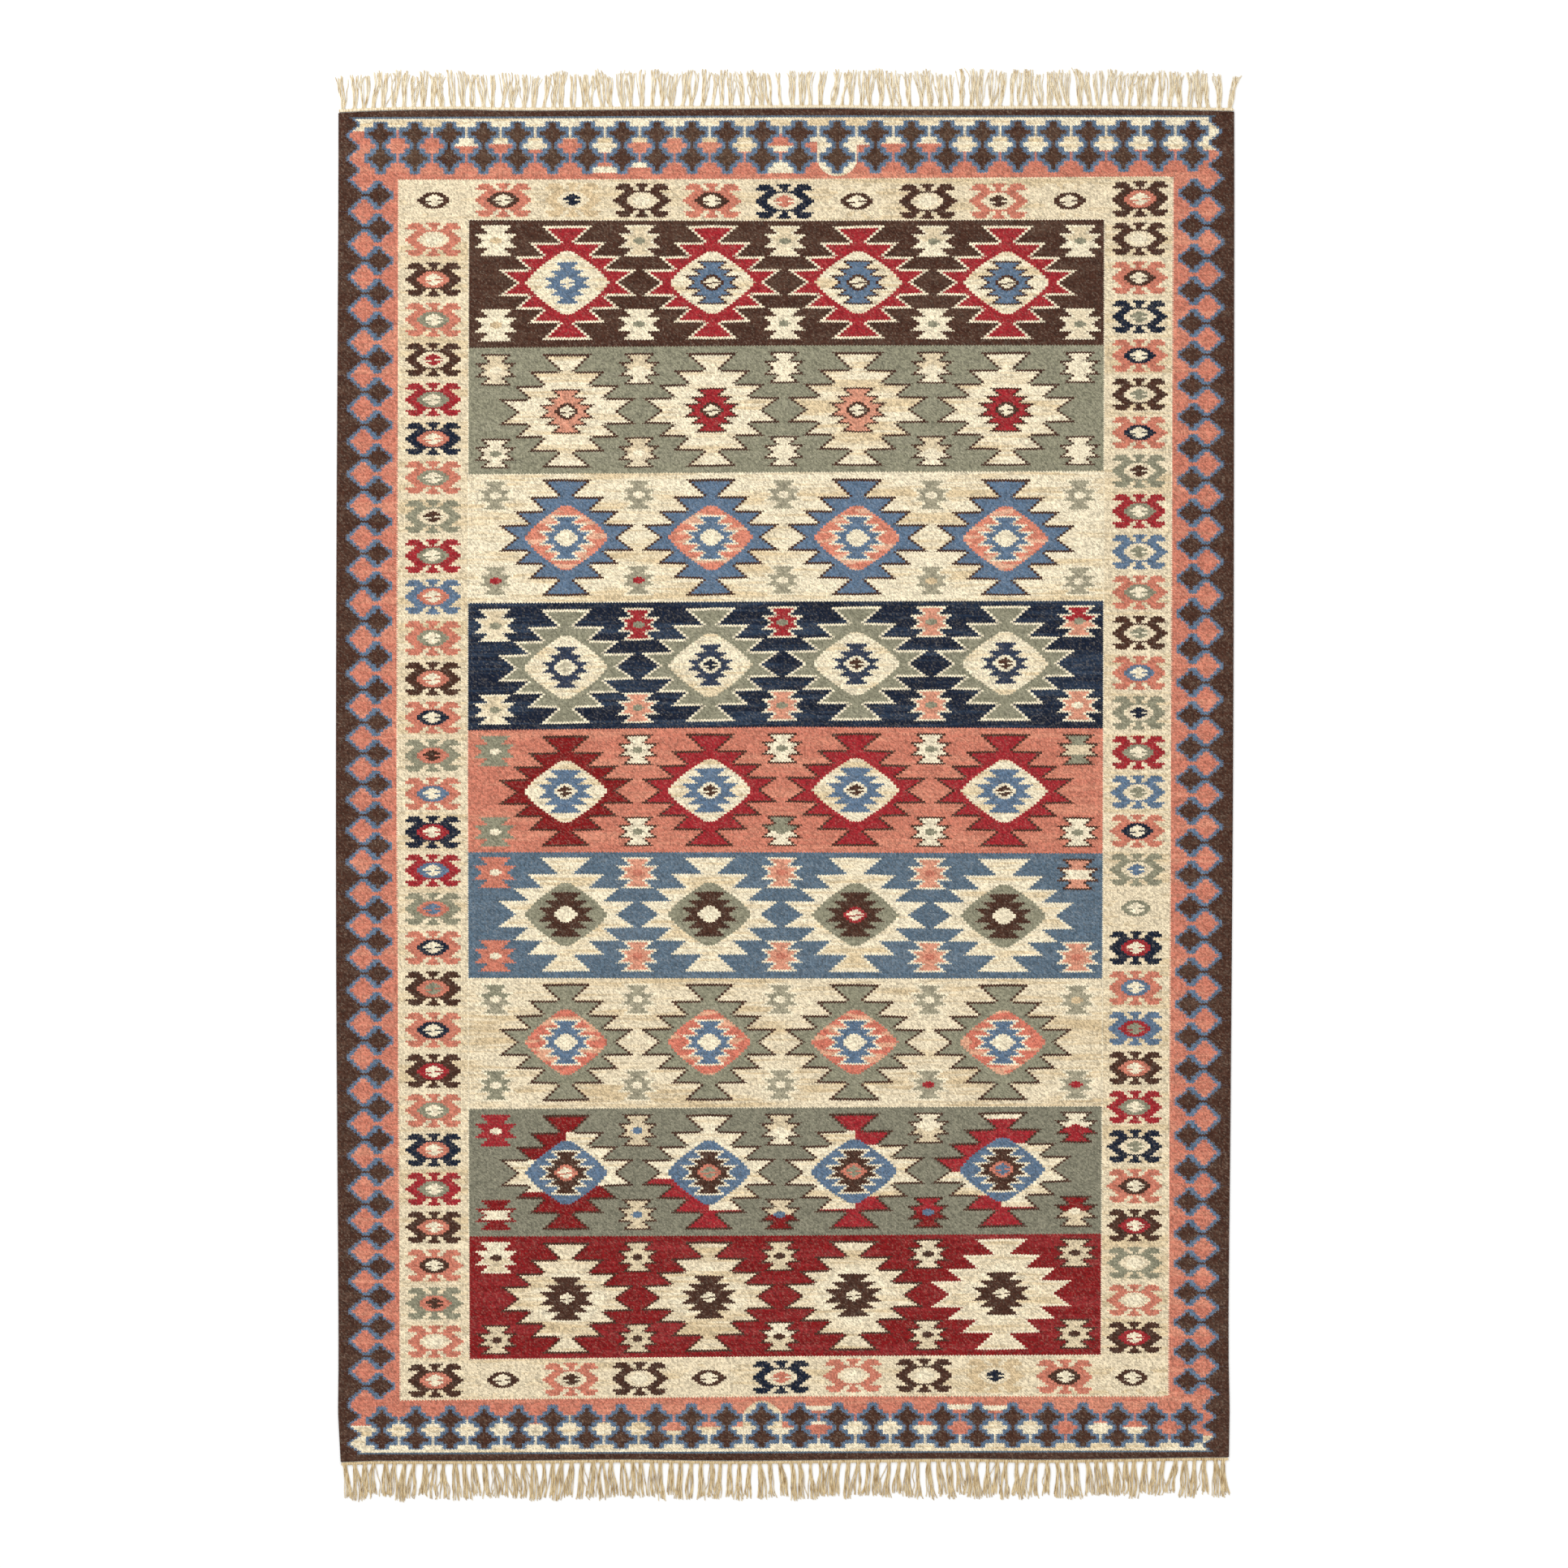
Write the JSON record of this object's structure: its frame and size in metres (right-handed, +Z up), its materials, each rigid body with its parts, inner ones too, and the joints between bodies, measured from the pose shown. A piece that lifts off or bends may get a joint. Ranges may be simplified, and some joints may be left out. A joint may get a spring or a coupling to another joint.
{
  "type": "kilim rug",
  "caption": "Flat-woven kilim rug lying flat, with a knotted fringe along each short end; a floor covering.",
  "frame": {"origin": "on the floor, under the middle of the whole rug, fringes included", "axes": "+X across the rug, +Y along it towards its far end (the top of the picture), +Z up"},
  "size_m": [1.2134, 1.9222, 0.003],
  "materials": {
    "wool_weave": "matt weft-faced wool weave in brown, cream, red, salmon, blue, navy and sage",
    "warp_cotton": "matt unbleached cotton yarn"
  },
  "bodies": {
    "root": {"kilim_cloth": "wool_weave", "fringe_far": "warp_cotton", "fringe_near": "warp_cotton"}
  },
  "joints": []
}
